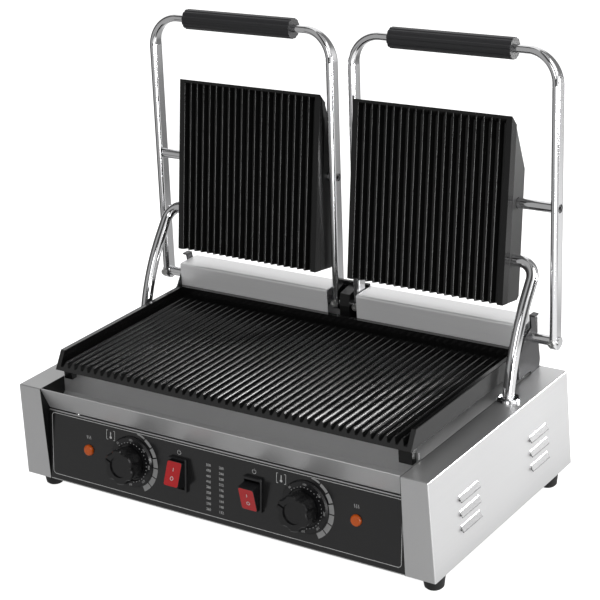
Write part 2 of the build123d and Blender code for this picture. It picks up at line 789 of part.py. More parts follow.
# ================================================================ hinge supports
bracket_tip_y = hinge_y - 0.7
bracket_tip_z = hinge_z + 27.5
for name, side in sides.items():
    with BuildPart() as spring_cover:
        with BuildSketch(Plane.YZ.offset(side * cover_inner_x)):
            with BuildLine():
                FilletPolyline(
                    (cover_front_y, body_top),
                    (cover_front_y, cover_top),
                    (cover_rear_y, cover_top),
                    (cover_rear_y, body_top),
                    radius=3,
                )
                offset(amount=sheet, side=Side.RIGHT)
            make_face()
        extrude(amount=side * (bracket_inner_x - sheet_gap - cover_inner_x))
    save(spring_cover, f"{name}_spring_cover")

    with BuildPart() as hinge_bracket:
        with BuildSketch(Plane.YZ.offset(side * bracket_inner_x)):
            with BuildLine():
                Polyline(
                    (hinge_y - 33, body_top + 3.5),
                    (hinge_y - 4, body_top + 3.5),
                    (hinge_y - 1, body_top),
                    (hinge_y + 18, body_top),
                    (hinge_y + 20.5, body_top + 10),
                    (hinge_y + 18.3, hinge_z - 17),
                    (hinge_y + 13.8, hinge_z + 2),
                    (bracket_tip_y + 10.5, bracket_tip_z),
                    (bracket_tip_y, bracket_tip_z),
                    (hinge_y + 1, hinge_z + 11),
                    (hinge_y - 15, hinge_z + 5),
                    (hinge_y - 25, hinge_z - 9),
                    (hinge_y - 33, hinge_z - 13),
                    close=True,
                )
            make_face()
            with Locations((hinge_y, hinge_z)):
                Circle(bracket_boss_radius)
        extrude(amount=side * bracket_thickness)
        with BuildSketch(Plane.YZ.offset(side * (bracket_inner_x - bracket_foot_width))):
            with Locations((hinge_y + 9.5, body_top + bracket_thickness / 2)):
                Rectangle(17, bracket_thickness)
        extrude(amount=side * bracket_foot_width)
        with BuildSketch(Plane.YZ.offset(side * bracket_inner_x)):
            with Locations((bracket_tip_y + 5.2, bracket_tip_z - bracket_thickness / 2)):
                Rectangle(10, bracket_thickness)
        extrude(amount=side * (bracket_thickness + bracket_lip))
        with BuildSketch(Plane.YZ.offset(side * (bracket_inner_x - 1))):
            with Locations((hinge_y, hinge_z)):
                Circle(shaft_radius + running_gap)
        extrude(amount=side * (bracket_thickness + 2), mode=Mode.SUBTRACT)
    save(hinge_bracket, f"{name}_hinge_bracket")

with BuildPart() as centre_bracket:
    with BuildSketch(Plane.YZ.offset(-cover_inner_x + 0.5)):
        with BuildLine():
            Polyline(
                (centre_foot_front_y, body_top),
                (centre_wall_y + centre_wall_thickness, body_top),
                (centre_wall_y + centre_wall_thickness, centre_wall_top),
                (centre_wall_y, centre_wall_top),
                (centre_wall_y, body_top + 4),
                (centre_foot_front_y, body_top + 4),
                close=True,
            )
        make_face()
    extrude(amount=2 * cover_inner_x - 1)
    with BuildSketch(Plane.YZ.offset(-centre_web_half)):
        with BuildLine():
            Polyline(
                (centre_foot_front_y + 2, body_top),
                (centre_wall_y, body_top),
                (centre_wall_y, centre_wall_top - 4),
                (hinge_y - 8, hinge_z + 15),
                (hinge_y - 11, hinge_z),
                close=True,
            )
        make_face()
    extrude(amount=2 * centre_web_half)
    with BuildSketch(arm_plane(0, -leg_depth / 2 - stop_gap)):
        with Locations((0, 15)):
            with GridLocations(2 * (arm_centre_x - leg_x), 1, 2, 1):
                Rectangle(8, 8)
    extrude(amount=-5)
    with BuildSketch(Plane.YZ.offset(-centre_web_half)):
        with Locations((hinge_y, hinge_z)):
            Circle(shaft_radius + running_gap)
    extrude(amount=2 * centre_web_half, mode=Mode.SUBTRACT)
save(centre_bracket, "centre_bracket")

spring_end_x = spring_start_x + 2 * spring_wire_radius * spring_turns
for name, side in sides.items():
    with BuildPart() as spring:
        with BuildSketch(Plane.XY):
            with Locations((side * (spring_start_x + spring_end_x) / 2, spring_mean_radius)):
                Rectangle(spring_end_x - spring_start_x, 2 * spring_wire_radius - 1)
                with GridLocations(2 * spring_wire_radius, 1, spring_turns, 1):
                    RegularPolygon(spring_wire_radius, 8, rotation=22.5)
        revolve(axis=Axis.X)
        with BuildSketch(Plane.XY.offset(body_top + sheet_gap - hinge_z)):
            with Locations((side * (spring_start_x + spring_wire_radius), spring_mean_radius)):
                Circle(spring_wire_radius)
        extrude(amount=hinge_z - body_top - sheet_gap)
    spring.part.locate(Location((0, hinge_y, hinge_z)))
    save(spring, f"{name}_counterbalance_spring")

# ================================================================ arms
for name, side in sides.items():
    frame_plane = arm_plane(side)
    leg_top = grip_reach - arm_bend_radius
    leg_foot = Plane(
        origin=frame_plane.from_local_coords((-leg_x, -leg_depth / 2, 0)),
        x_dir=(1, 0, 0),
        z_dir=frame_plane.y_dir,
    )
    rail_end = Plane(
        origin=frame_plane.from_local_coords((arm_bend_radius - leg_x, grip_reach, 0)),
        x_dir=-frame_plane.y_dir,
        z_dir=(1, 0, 0),
    )
    with BuildPart() as arm_frame:
        with BuildSketch(leg_foot):
            SlotOverall(leg_depth, leg_thickness, rotation=90)
        extrude(amount=leg_top + leg_depth / 2)
        with BuildSketch(rail_end):
            SlotOverall(rail_depth, leg_thickness, rotation=90)
        extrude(amount=leg_x - arm_bend_radius)
        with BuildLine(frame_plane):
            CenterArc((arm_bend_radius - leg_x, leg_top), arm_bend_radius, 180, -90)
        with BuildSketch(leg_foot.offset(leg_top + leg_depth / 2)):
            SlotOverall(leg_depth, leg_thickness, rotation=90)
        with BuildSketch(rail_end):
            SlotOverall(rail_depth, leg_thickness, rotation=90)
        sweep(multisection=True)
        mirror(about=Plane.YZ.offset(side * arm_centre_x))
        outer_faces = side * arm_centre_x - leg_x - leg_thickness / 2
        with BuildSketch(side_plane(frame_plane).offset(-leg_x - leg_thickness / 2)):
            Rectangle(leg_depth, 2 * leg_depth, align=(Align.MAX, Align.CENTER))
            Circle(leg_depth / 2, mode=Mode.SUBTRACT)
        extrude(amount=2 * leg_x + leg_thickness, mode=Mode.SUBTRACT)
        with BuildSketch(Plane.YZ.offset(outer_faces)):
            with Locations((hinge_y, hinge_z)):
                Circle(shaft_radius + running_gap)
            with Locations((rod_y, rod_z)):
                Circle(m6_hole_radius)
        extrude(amount=2 * leg_x + leg_thickness, mode=Mode.SUBTRACT)
        for leg in (-1, 1):
            with BuildSketch(Plane.YZ.offset(side * arm_centre_x + leg * (leg_x + leg_thickness / 2))):
                with Locations((rod_y, rod_z)):
                    Circle(counterbore_radius)
            extrude(amount=-leg * counterbore_depth, mode=Mode.SUBTRACT)
        with BuildSketch(arm_plane(side, leg_depth / 2)):
            with Locations((-leg_x, 0), (leg_x, 0)):
                Circle(m4_radius + running_gap)
        extrude(amount=-leg_depth / 2 + shaft_radius / 2, mode=Mode.SUBTRACT)
    save(arm_frame, f"{name}_arm_frame")

    with BuildPart() as grip:
        grip_start = frame_plane.from_local_coords((-grip_length / 2, grip_reach, 0))
        with BuildSketch(Plane(origin=grip_start, x_dir=frame_plane.y_dir, z_dir=(1, 0, 0))):
            Circle(grip_radius)
            with PolarLocations(grip_flute_reach, grip_flutes):
                Circle(grip_flute_radius, mode=Mode.SUBTRACT)
            SlotOverall(
                rail_depth + 2 * running_gap, leg_thickness + 2 * running_gap, rotation=90, mode=Mode.SUBTRACT
            )
        extrude(amount=grip_length)
    save(grip, f"{name}_grip")

    shaft_end = arm_centre_x + leg_x + leg_thickness / 2 + shaft_end_reach
    with BuildPart() as hinge_shaft:
        with BuildSketch(Plane.YZ.offset(side * 1.0)):
            with Locations((hinge_y, hinge_z)):
                Circle(shaft_radius)
        extrude(amount=side * (shaft_end - 1.0))
        with BuildSketch(Plane.YZ.offset(side * (collar_x - collar_length / 2))):
            with Locations((hinge_y, hinge_z)):
                Circle(collar_radius)
        extrude(amount=side * collar_length)
    save(hinge_shaft, f"{name}_hinge_shaft")

    rod_half = leg_x - leg_thickness / 2
    with BuildPart() as plate_rod:
        with BuildSketch(Plane.YZ.offset(side * arm_centre_x - rod_half)):
            with Locations((rod_y, rod_z)):
                Circle(rod_radius)
                Circle(m6_hole_radius, mode=Mode.SUBTRACT)
        extrude(amount=2 * rod_half)
        with BuildSketch(Plane.YZ.offset(side * arm_centre_x - rod_half + m6_length + 3)):
            with Locations((rod_y, rod_z)):
                Circle(rod_radius)
        extrude(amount=2 * (rod_half - m6_length - 3))
    save(plate_rod, f"{name}_plate_rod")

    screws = []
    for leg in (-1, 1):
        head_seat = side * arm_centre_x + leg * (leg_x + leg_thickness / 2 - counterbore_depth)
        with BuildPart() as rod_screw:
            with BuildSketch(Plane.YZ.offset(head_seat)):
                with Locations((rod_y, rod_z)):
                    Circle(m6_head_radius)
            extrude(amount=leg * m6_head_height)
            with BuildSketch(Plane.YZ.offset(head_seat + leg * m6_head_height)):
                with Locations((rod_y, rod_z)):
                    RegularPolygon(2.5, 6)
            extrude(amount=-leg * 2.2, mode=Mode.SUBTRACT)
            with BuildSketch(Plane.YZ.offset(head_seat)):
                with Locations((rod_y, rod_z)):
                    Circle(m6_radius)
            extrude(amount=-leg * (leg_thickness - counterbore_depth + m6_length))
        screws.append(rod_screw.part)
    rod_screws = Compound(children=screws)
    rod_screws.label = f"{name}_rod_screws"
    export_step(rod_screws, f"parts/{name}_rod_screws.step")

    screws = []
    for leg in (-1, 1):
        with BuildPart() as set_screw:
            with BuildSketch(arm_plane(side, leg_depth / 2 + seat_gap)):
                with Locations((leg * leg_x, 0)):
                    Circle(m4_head_radius)
            extrude(amount=set_screw_head)
            with BuildSketch(arm_plane(side, leg_depth / 2 + seat_gap + set_screw_head)):
                with Locations((leg * leg_x, 0)):
                    RegularPolygon(1.7, 6)
            extrude(amount=-1.2, mode=Mode.SUBTRACT)
            with BuildSketch(arm_plane(side, leg_depth / 2 + seat_gap)):
                with Locations((leg * leg_x, 0)):
                    Circle(m4_radius)
            extrude(amount=shaft_radius - leg_depth / 2)
        screws.append(set_screw.part)
    set_screws = Compound(children=screws)
    set_screws.label = f"{name}_set_screws"
    export_step(set_screws, f"parts/{name}_set_screws.step")

# ================================================================ upper plates
upper_run = plate_width / 2 - 17.3
heater_inner_run = 38.0
upper_heater_low = 16.4 - plate_height / 2
upper_heater_high = plate_height / 2 - 40.4
for name, side in sides.items():
    face_plane = plate_plane(side)
    profile_plane = side_plane(face_plane)
    with BuildPart() as upper_plate:
        with BuildSketch(profile_plane):
            with BuildLine():
                Polyline(
                    (-plate_height / 2, 0),
                    (plate_height / 2, 0),
                    (plate_height / 2 - plate_bevel, 1 - plate_thickness),
                    (plate_height / 2 - plate_bevel, -plate_thickness),
                    (-plate_height / 2, -plate_thickness),
                    close=True,
                )
            make_face()
        extrude(amount=plate_width / 2, both=True)
        end_plane = Plane(
            origin=face_plane.from_local_coords((0, -plate_height / 2, 0)),
            x_dir=(1, 0, 0),
            z_dir=face_plane.y_dir,
        )
        with BuildSketch(end_plane):
            with Locations((0, 0)):
                ribbed_width = upper_rib_pitch * (upper_rib_count - 1)
                Rectangle(ribbed_width, upper_rib_height, align=(Align.CENTER, Align.MIN))
            with GridLocations(upper_rib_pitch, 1, upper_rib_count, 1):
                with Locations(Location((0, upper_rib_height, 0), (0, 0, 180))):
                    rib_profile(upper_rib_height)
        extrude(amount=plate_height, mode=Mode.SUBTRACT)
        rim_run = plate_bevel * upper_rib_height / (plate_thickness - 1)
        with BuildSketch(profile_plane):
            Polygon(
                (plate_height / 2 - upper_rim, 0),
                (plate_height / 2, 0),
                (plate_height / 2 - rim_run, -upper_rib_height),
                (plate_height / 2 - rim_run - upper_rim, -upper_rib_height),
                align=None,
            )
        extrude(amount=plate_width / 2, both=True)
        for lug in (-1, 1):
            lug_plane = side_plane(plate_plane(side)).offset(lug * lug_offset_x - lug_width / 2)
            with BuildSketch(lug_plane):
                with Locations((rod_above_centre, -plate_thickness)):
                    lug_rise = rod_behind_face - plate_thickness
                    Rectangle(2 * lug_half_height, lug_rise, align=(Align.CENTER, Align.MAX))
                with Locations((rod_above_centre, -rod_behind_face)):
                    Circle(lug_half_height - 1)
                    Circle(rod_radius + running_gap, mode=Mode.SUBTRACT)
            extrude(amount=lug_width)
    save(upper_plate, f"{name}_upper_plate")

    cover_half = plate_width / 2 - upper_cover_inset
    heel_depth = cover_heel_rise - cover_depth
    with BuildPart() as upper_cover:
        with BuildSketch(profile_plane):
            with BuildLine():
                Polyline(
                    (-plate_height / 2 + upper_cover_inset, -plate_thickness),
                    (-plate_height / 2 + upper_cover_inset, heel_depth),
                    (-plate_height / 2 + upper_cover_inset + cover_heel_rise, -cover_depth),
                    (cover_shoulder, -cover_shoulder_depth),
                    (plate_height / 2 - plate_bevel - 3.5, -plate_thickness),
                    close=True,
                )
            make_face()
        extrude(amount=cover_half, both=True)
        open_face = upper_cover.faces().sort_by(Axis(face_plane.origin, face_plane.z_dir))[-1]
        offset(amount=-upper_cover_wall, openings=open_face)
        with BuildSketch(profile_plane.offset(-cover_half - 1)):
            with Locations((rod_above_centre, -rod_behind_face)):
                Circle(rod_radius + 0.5)
        extrude(amount=2 * cover_half + 2, mode=Mode.SUBTRACT)
        with BuildSketch(Plane.YZ.offset(side * (plate_centre_x + cover_half))):
            with Locations((conduit_swivel_y, conduit_swivel_z)):
                Circle(conduit_radius + seat_gap + swivel_bush_wall)
        extrude(amount=-side * 6)
        with BuildSketch(Plane.YZ.offset(side * (plate_centre_x + cover_half))):
            with Locations((conduit_swivel_y, conduit_swivel_z)):
                Circle(conduit_radius + swivel_gap)
        extrude(amount=-side * 6, mode=Mode.SUBTRACT)
    save(upper_cover, f"{name}_upper_cover")

    heater_level = plate_plane(side, -plate_thickness - heater_radius - seat_gap)
    with BuildPart() as upper_heater:
        with BuildLine(heater_level):
            FilletPolyline(
                (-upper_run, upper_heater_low),
                (-upper_run, upper_heater_high),
                (heater_inner_run - upper_run, upper_heater_high),
                (heater_inner_run - upper_run, upper_heater_low + 6),
                (upper_run - heater_inner_run, upper_heater_low + 6),
                (upper_run - heater_inner_run, upper_heater_high),
                (upper_run, upper_heater_high),
                (upper_run, upper_heater_low),
                radius=heater_bend_radius,
            )
        start = Plane(
            origin=heater_level.from_local_coords((-upper_run, upper_heater_low, 0)),
            x_dir=(1, 0, 0),
            z_dir=heater_level.y_dir,
        )
        with BuildSketch(start):
            Circle(heater_radius)
        sweep()
    save(upper_heater, f"{name}_upper_heater")

# ================================================================ conduits and ferrules
tail_slope = (conduit_entry_y - conduit_knee_y) / (body_top - conduit_knee_z)
tail_z = body_top - conduit_tail
tail_y = conduit_entry_y + tail_slope * (tail_z - body_top)
for name, side in sides.items():
    conduit_start = plate_centre_x + cover_half - 8
    with BuildPart() as conduit:
        with BuildLine():
            swivel = (side * conduit_x, conduit_swivel_y, conduit_swivel_z)
            knee = (side * conduit_x, conduit_knee_y, conduit_knee_z)
            run = Vector(*knee) - Vector(*swivel)
            elbow_end = Vector(*swivel) + run.normalized() * conduit_elbow_radius
            elbow_start = Vector(side * (conduit_x - conduit_elbow_radius), *swivel[1:])
            Line((side * conduit_start, *swivel[1:]), elbow_start)
            elbow = TangentArc(elbow_start, elbow_end, tangent=(side, 0, 0))
            FilletPolyline(
                elbow_end, knee, (side * conduit_x, tail_y, tail_z), radius=conduit_knee_radius
            )
        with BuildSketch(Plane.YZ.offset(side * conduit_start)):
            with Locations((conduit_swivel_y, conduit_swivel_z)):
                Circle(conduit_radius)
                Circle(conduit_bore_radius, mode=Mode.SUBTRACT)
        sweep()
    save(conduit, f"{name}_conduit")

    with BuildPart() as ferrule:
        with BuildSketch(Plane.XZ.offset(-ferrule_y)):
            with BuildLine():
                Polyline(
                    (side * (conduit_x + ferrule_bore_radius), body_top - ferrule_neck_depth),
                    (side * (conduit_x + ferrule_neck_radius), body_top - ferrule_neck_depth),
                    (side * (conduit_x + ferrule_neck_radius), body_top),
                    (side * (conduit_x + ferrule_radius), body_top),
                    (side * (conduit_x + ferrule_radius), body_top + 1.4),
                    (side * (conduit_x + ferrule_radius - 1.6), body_top + ferrule_height),
                    (side * (conduit_x + ferrule_radius - 3.0), body_top + ferrule_height),
                    (side * (conduit_x + ferrule_bore_radius), body_top + ferrule_height - 2.0),
                    close=True,
                )
            make_face()
        revolve(axis=Axis((side * conduit_x, ferrule_y, 0), (0, 0, 1)))
    save(ferrule, f"{name}_conduit_ferrule")
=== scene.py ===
import json
from math import cos, pi, radians, sin

import bmesh
import bpy
from mathutils import Matrix, Vector


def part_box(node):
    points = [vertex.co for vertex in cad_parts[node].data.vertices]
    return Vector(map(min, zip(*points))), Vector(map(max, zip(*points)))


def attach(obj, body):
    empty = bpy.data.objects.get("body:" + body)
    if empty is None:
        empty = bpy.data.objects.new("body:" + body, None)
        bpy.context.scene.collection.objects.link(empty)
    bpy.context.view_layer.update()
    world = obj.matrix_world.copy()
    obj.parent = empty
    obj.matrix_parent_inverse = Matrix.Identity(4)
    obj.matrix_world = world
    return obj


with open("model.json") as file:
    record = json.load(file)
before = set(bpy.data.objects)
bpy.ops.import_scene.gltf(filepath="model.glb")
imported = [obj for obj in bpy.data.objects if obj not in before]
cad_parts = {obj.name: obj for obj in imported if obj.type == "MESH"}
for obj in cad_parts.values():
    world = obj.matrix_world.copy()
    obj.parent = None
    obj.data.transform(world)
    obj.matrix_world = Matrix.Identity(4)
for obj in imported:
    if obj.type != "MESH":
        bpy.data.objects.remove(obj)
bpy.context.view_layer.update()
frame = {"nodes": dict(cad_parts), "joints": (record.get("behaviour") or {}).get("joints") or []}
cadNodes = frame["nodes"]
joints = {joint["name"]: joint for joint in frame["joints"]}
mm = 0.001
sides = {"left": -1, "right": 1}

# brightness of the studio as mirrors see it; a wall stop is a share of the turn from the rear, and a level
studio = {
    "ambient": 0.50, "floorFront": 0.42, "floorFar": 1.0, "floorSide": 1.0, "peak": 1.0,
    "walls": (
        (0.0, 0.20), (0.03, 1.0), (0.167, 1.0), (0.21, 0.08), (0.34, 0.08), (0.37, 0.40),
        (0.47, 0.40), (0.50, 0.05), (0.63, 0.05), (0.65, 0.9), (0.73, 0.9), (0.745, 0.06),
        (0.85, 0.06), (0.865, 1.0), (0.904, 0.9), (0.917, 0.20), (1.0, 0.20),
    ),
}


# a value in a node tree that can be summed like a number
class Signal:
    def __init__(self, wiring, socket):
        self.wiring = wiring
        self.socket = socket

    def maths(self, operation, first, second):
        return self.wiring.add("ShaderNodeMath", {"operation": operation}, {0: first, 1: second})

    def __add__(self, other):
        return self.maths("ADD", self, other)

    def __radd__(self, other):
        return self.maths("ADD", other, self)

    def __sub__(self, other):
        return self.maths("SUBTRACT", self, other)

    def __rsub__(self, other):
        return self.maths("SUBTRACT", other, self)

    def __mul__(self, other):
        return self.maths("MULTIPLY", self, other)

    def __rmul__(self, other):
        return self.maths("MULTIPLY", other, self)

    def __gt__(self, other):
        return self.maths("GREATER_THAN", self, other)


# one node tree, for a material or for the world
class Wiring:
    def __init__(self, owner):
        owner.use_nodes = True
        self.tree = owner.node_tree
        self.nodes = self.tree.nodes

    def feed(self, socket, value):
        if isinstance(value, Signal):
            self.tree.links.new(value.socket, socket)
        elif isinstance(value, (tuple, list)) and len(value) == 3 and socket.type == "RGBA":
            socket.default_value = (*value, 1.0)
        else:
            socket.default_value = value

    def add(self, kind, settings=None, inputs=None, output=0):
        node = self.nodes.new(kind)
        for name, value in (settings or {}).items():
            if name == "stops":
                ramp = node.color_ramp
                while len(ramp.elements) < len(value):
                    ramp.elements.new(0.5)
                for element, (place, level) in zip(ramp.elements, value):
                    element.position = place
                    element.color = (level, level, level, 1.0)
            else:
                setattr(node, name, value)
        for name, value in (inputs or {}).items():
            self.feed(node.inputs[name], value)
        return Signal(self, node.outputs[output])

    def blend(self, factor, first, second):
        return self.add("ShaderNodeMix", {"data_type": "RGBA"}, {0: factor, 6: first, 7: second}, 2)

    def noise(self, scale, stretch=(1, 1, 1), detail=3.0, roughness=0.5):
        place = self.add("ShaderNodeTexCoord", output="Object")
        place = self.add("ShaderNodeMapping", {}, {"Vector": place, "Scale": stretch})
        inputs = {"Vector": place, "Scale": scale, "Detail": detail, "Roughness": roughness}
        return self.add("ShaderNodeTexNoise", {}, inputs)

    def place(self, kind="Object"):
        spot = self.add("ShaderNodeTexCoord", output=kind)
        parts = self.add("ShaderNodeSeparateXYZ", {}, {0: spot})
        return [Signal(self, parts.socket.node.outputs[axis]) for axis in range(3)]

    # studio brightness by compass direction, clockwise from the rear
    def around(self, kind="Object"):
        x, y = self.place(kind)[:2]
        turn = x.maths("ARCTAN2", x, y * -1.0) * (0.5 / pi) + 0.5
        stops = ((place, level / studio["peak"]) for place, level in studio["walls"])
        return self.ramp(turn, *stops) * studio["peak"]

    def ramp(self, value, *stops):
        return self.add("ShaderNodeValToRGB", {"stops": stops}, {"Fac": value})


class Finish(Wiring):
    def __init__(self, name, values):
        self.material = bpy.data.materials.new(name)
        super().__init__(self.material)
        self.shader = self.nodes["Principled BSDF"]
        for socket, value in values.items():
            self.set(socket, value)

    def set(self, socket, value):
        self.feed(self.shader.inputs[socket], value)

    def bump(self, height, depth, strength):
        inputs = {"Height": height, "Distance": depth, "Strength": strength}
        self.set("Normal", self.add("ShaderNodeBump", {}, inputs))


black = (0, 0, 0)
white = (1.0, 1.0, 1.0)

# the end housings lean outwards by this much over their height
housingFlare = 4.0 / 118.5
housingTop = 140 * mm
steelLook = {
    "tone": 0.62, "toneSpread": 0.03, "cloudSpread": 0.03, "cloudScale": 7.0,
    "roughness": 0.36, "roughnessSpread": 0.06, "cloudRoughness": 0.05, "hoodRoughness": 0.25,
    "grain": 420.0, "grainStretch": 0.012, "grainDetail": 4.0, "grainMix": 0.6,
    "grainDepth": 0.006 * mm, "grainBump": 0.3, "tint": (1.0, 1.0, 1.005),
    # the tones for the inner wall, the vent hoods and the front of the top are painted shade
    "innerWall": 251.6 * mm, "innerPaintedShade": 0.03,
    "hoodStart": 285.6 * mm + housingTop * housingFlare, "hoodShade": 0.66,
    "top": housingTop - 0.5 * mm, "topShade": 0.48, "shadeStart": 0.0, "shadeEnd": 0.20,
}


def satinSteel(name, along, tone=1.0, housing=False, metallic=1.0):
    finish = Finish(name, {"Metallic": metallic})
    stretch = tuple(steelLook["grainStretch"] if axis == along else 1.0 for axis in "XYZ")
    grain = finish.noise(steelLook["grain"], stretch, steelLook["grainDetail"], steelLook["grainMix"])
    cloud = finish.noise(steelLook["cloudScale"])
    spread = steelLook["toneSpread"] * (grain - 0.5) + steelLook["cloudSpread"] * (cloud - 0.5)
    level = (steelLook["tone"] + spread) * tone
    # on a housing, painted shade darkens the inner wall, the hoods of its vents and the front of its top,
    # where the dark plate would be reflected
    if housing:
        across, depth, height = finish.place()
        across = across.maths("ABSOLUTE", across, 0.0)
        outside = across > steelLook["innerWall"]
        hood = across + height * housingFlare > steelLook["hoodStart"]
        level = level * (steelLook["innerPaintedShade"] + (1 - steelLook["innerPaintedShade"]) * outside)
        # painted shade on the hoods of the vents
        level = level * (1 - steelLook["hoodShade"] * hood)
        # painted shade on the front of the top, standing in for the dark plate it reflects
        shaded = finish.ramp(depth, (steelLook["shadeStart"], 1.0), (steelLook["shadeEnd"], 0.0))
        level = level * (1 - steelLook["topShade"] * shaded * (height > steelLook["top"]))
    finish.set("Base Color", finish.blend(level, black, steelLook["tint"]))
    roughness = steelLook["roughnessSpread"] * (grain - 0.5)
    roughness = roughness + steelLook["cloudRoughness"] * (cloud - 0.5)
    if housing:
        roughness = roughness + steelLook["hoodRoughness"] * hood
    finish.set("Roughness", steelLook["roughness"] + roughness)
    finish.bump(grain, steelLook["grainDepth"], steelLook["grainBump"])
    return finish.material


chromeLook = {"colour": (0.80, 0.80, 0.81), "haze": 40.0, "roughness": 0.09, "spread": 0.06}


def polishedChrome(name):
    finish = Finish(name, {"Metallic": 1.0, "Base Color": chromeLook["colour"]})
    haze = finish.noise(chromeLook["haze"])
    finish.set("Roughness", chromeLook["roughness"] + chromeLook["spread"] * haze)
    return finish.material


castLook = {
    "tone": 0.005, "roughness": 0.18, "spread": 0.03, "grain": 900.0, "grainDepth": 0.002 * mm,
    "grainBump": 0.5, "cloudScale": 14.0, "cloudLow": 0.8, "cloudSpread": 0.4, "outside": 247.5 * mm,
}


def coatedIron(name, tone=1.0, roughness=0.0, gloss=0.4, dullSides=0.0):
    finish = Finish(name, {"Specular IOR Level": gloss})
    grain = finish.noise(castLook["grain"], detail=2.0)
    cloud = finish.noise(castLook["cloudScale"], detail=4.0)
    level = castLook["tone"] * tone * (castLook["cloudLow"] + castLook["cloudSpread"] * cloud)
    finish.set("Base Color", finish.blend(level, black, white))
    level = castLook["roughness"] + roughness + castLook["spread"] * (grain - 0.5)
    if dullSides:
        across = finish.place()[0]
        level = level + dullSides * (across.maths("ABSOLUTE", across, 0.0) > castLook["outside"])
    finish.set("Roughness", level)
    finish.bump(grain, castLook["grainDepth"], castLook["grainBump"])
    return finish.material


plasticLook = {"coatRoughness": 0.05, "spread": 0.08, "bump": 0.4}


def mouldedPlastic(name, colour, roughness, grain=1400.0, depth=0.02 * mm, coat=0.0):
    values = {"Base Color": colour, "Coat Weight": coat, "Coat Roughness": plasticLook["coatRoughness"]}
    finish = Finish(name, values)
    texture = finish.noise(grain, detail=2.0)
    finish.set("Roughness", roughness + plasticLook["spread"] * (texture - 0.5))
    finish.bump(texture, depth, plasticLook["bump"])
    return finish.material


lensLook = {"roughness": 0.16, "coat": 0.3, "coatRoughness": 0.04, "cloudScale": 220.0, "dimShare": 0.6}


def clearPlastic(name, colour, glow):
    finish = Finish(name, {
        "Base Color": colour, "Roughness": lensLook["roughness"],
        "Coat Weight": lensLook["coat"], "Coat Roughness": lensLook["coatRoughness"],
    })
    cloud = finish.noise(lensLook["cloudScale"], detail=2.0)
    dim = tuple(lensLook["dimShare"] * channel for channel in colour)
    finish.set("Emission Color", finish.blend(cloud, dim, colour))
    finish.set("Emission Strength", glow)
    return finish.material


metalLook = {"scuffScale": 320.0, "spread": 0.15, "depth": 0.02 * mm, "bump": 0.3}


def plainMetal(name, colour, roughness):
    finish = Finish(name, {"Metallic": 1.0, "Base Color": colour})
    scuff = finish.noise(metalLook["scuffScale"])
    finish.set("Roughness", roughness + metalLook["spread"] * (scuff - 0.5))
    finish.bump(scuff, metalLook["depth"], metalLook["bump"])
    return finish.material


inkLook = {"roughness": 0.45, "wearScale": 500.0, "wearLow": 0.9, "wearSpread": 0.2}


def printInk(name, tone):
    finish = Finish(name, {"Roughness": inkLook["roughness"]})
    wear = finish.noise(inkLook["wearScale"])
    level = tone * (inkLook["wearLow"] + inkLook["wearSpread"] * wear)
    finish.set("Base Color", finish.blend(level, black, white))
    return finish.material


steelAlongX = satinSteel("steelAlongX", "X", 0.95, metallic=0.6)
coverSteel = satinSteel("coverSteel", "X", 1.5, metallic=0.35)
housingSteel = satinSteel("housingSteel", "Y", 1.12, True, 0.8)
chrome = polishedChrome("armChrome")
plateCoat = coatedIron("plateCoat")
lowerPlateCoat = coatedIron("lowerPlateCoat", gloss=0.75, dullSides=0.60)
coverEnamel = coatedIron("coverEnamel", 5.0, 0.18)
knobBlack = mouldedPlastic("knobBlack", (0.009, 0.009, 0.0095), 0.20)
dialBlack = mouldedPlastic("dialBlack", (0.010, 0.010, 0.011), 0.26)
switchBlack = mouldedPlastic("switchBlack", (0.010, 0.010, 0.011), 0.24, coat=0.3)
gripBlack = mouldedPlastic("gripBlack", (0.020, 0.020, 0.022), 0.42)
footRubber = mouldedPlastic("footRubber", (0.010, 0.010, 0.010), 0.55)
filmBlack = mouldedPlastic("filmBlack", (0.012, 0.012, 0.0125), 0.22, 700.0, 0.006 * mm, 0.2)
lensRed = clearPlastic("lensRed", (0.46, 0.004, 0.007), 0.10)
lampAmber = clearPlastic("lampAmber", (0.58, 0.09, 0.0), 0.06)
printWhite = printInk("printWhite", 0.62)
printGrey = printInk("printGrey", 0.34)
printPale = printInk("printPale", 0.50)
zincSteel = plainMetal("zincSteel", (0.55, 0.55, 0.54), 0.35)
darkSteel = plainMetal("darkSteel", (0.09, 0.09, 0.092), 0.34)
heaterSheath = plainMetal("heaterSheath", (0.24, 0.23, 0.21), 0.45)
blackSteel = coatedIron("blackSteel", 1.4, 0.12)
ceramic = mouldedPlastic("ceramic", (0.70, 0.69, 0.64), 0.35)

finishOf = {
    "base_pan": steelAlongX, "back_panel": steelAlongX, "top_deck": steelAlongX,
    "front_panel": steelAlongX, "grease_trough": steelAlongX, "fascia_overlay": filmBlack,
    "feet": footRubber, "foot_screws": zincSteel, "lower_plate": lowerPlateCoat,
    "terminal_block": ceramic, "cable_gland": knobBlack, "centre_bracket": blackSteel,
}
# these come once on the left and once on the right
finishOfPair = {
    "end_housing": housingSteel, "spring_cover": coverSteel, "upper_cover": coverEnamel,
    "upper_plate": plateCoat, "arm_frame": chrome, "hinge_shaft": chrome, "plate_rod": chrome,
    "conduit": chrome, "conduit_ferrule": chrome, "grip": gripBlack, "hinge_bracket": darkSteel,
    "counterbalance_spring": darkSteel, "rod_screws": darkSteel, "set_screws": zincSteel,
    "knob": knobBlack, "dial_spindle": zincSteel, "dial_ring": dialBlack, "thermostat": ceramic,
    "switch_body": switchBlack, "rocker": switchBlack, "rocker_lens": lensRed, "lamp": lampAmber,
    "lower_heater": heaterSheath, "upper_heater": heaterSheath,
}
for side in sides:
    for piece, finish in finishOfPair.items():
        finishOf[f"{side}_{piece}"] = finish
for node, finish in finishOf.items():
    for slot in cadNodes[node].material_slots:
        slot.material = finish
print("finishes set on", len(finishOf), "nodes")


